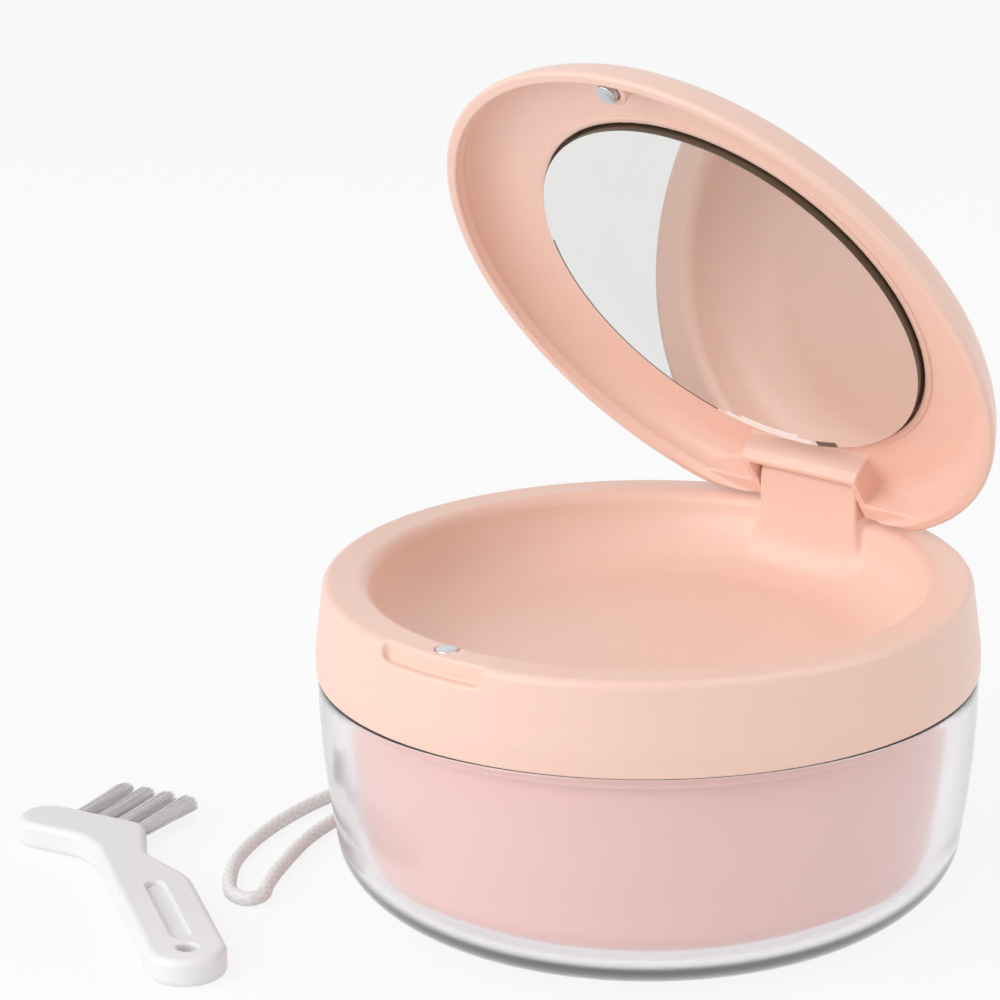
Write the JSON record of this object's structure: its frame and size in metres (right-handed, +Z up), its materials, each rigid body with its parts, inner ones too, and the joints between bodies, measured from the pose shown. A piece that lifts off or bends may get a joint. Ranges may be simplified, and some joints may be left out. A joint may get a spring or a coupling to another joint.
{
  "type": "retainer cleaning case",
  "caption": "Round soaking case with a screw-on dish collar, a hinged mirror lid, a wrist strap and a small angled brush.",
  "frame": {"origin": "centre of the tank's flat underside, on the bowl's axis", "axes": "+Z up along the bowl's axis; +Y towards the lid hinge and the strap eyelet; -Y towards the thumb notch and magnets; +X to the right"},
  "size_m": [0.1272, 0.1279, 0.1163],
  "materials": {
    "clear_plastic": "clear polished plastic",
    "pink_plastic": "smooth pale pink plastic",
    "silicone": "matte white silicone",
    "peach_plastic": "satin peach plastic",
    "magnet_steel": "nickel plated",
    "pin_steel": "ground steel",
    "white_cord": "woven white cord",
    "white_plastic": "smooth white plastic",
    "mirror": "silvered glass",
    "foam_tape": "dark double sided tape",
    "nylon": "white nylon bristle"
  },
  "bodies": {
    "tank": {"outer_bowl": "clear_plastic", "inner_liner": "pink_plastic"},
    "seal": {"seal_ring": "silicone"},
    "collar": {"collar": "peach_plastic", "collar_magnet": "magnet_steel", "hinge_pin": "pin_steel", "strap_knot": "white_cord", "tether_cord": "white_cord", "strap_bead": "white_plastic", "wrist_loop": "white_cord"},
    "lid": {"lid_shell": "peach_plastic", "mirror_glass": "mirror", "mirror_tape": "foam_tape", "lid_magnet": "magnet_steel"},
    "brush": {"brush_handle": "white_plastic", "brush_tuft_1": "nylon", "brush_tuft_2": "nylon", "brush_tuft_3": "nylon", "brush_tuft_4": "nylon"}
  },
  "joints": [
    {"name": "collar_lift", "type": "slide", "parent": "tank", "child": "seal", "axis": [0, 0, 1], "range_m": [0, 0.003]},
    {"name": "collar_twist", "type": "hinge", "parent": "seal", "child": "collar", "pos_m": [0, 0, 0.04], "axis": [0, 0, 1], "range_deg": [0, 88]},
    {"name": "lid_hinge", "type": "hinge", "parent": "collar", "child": "lid", "pos_m": [0, 0.0373, 0.0506], "axis": [-1, 0, 0], "range_deg": [-56.7, 43.3]},
    {"name": "brush_pickup", "type": "slide", "parent": "tank", "child": "brush", "axis": [0, 0, 1], "range_m": [0, 0.08]}
  ],
  "couplings": [
    {"joint": "collar_lift", "follows": "collar_twist", "m_per_rad": 0.0019099}
  ]
}
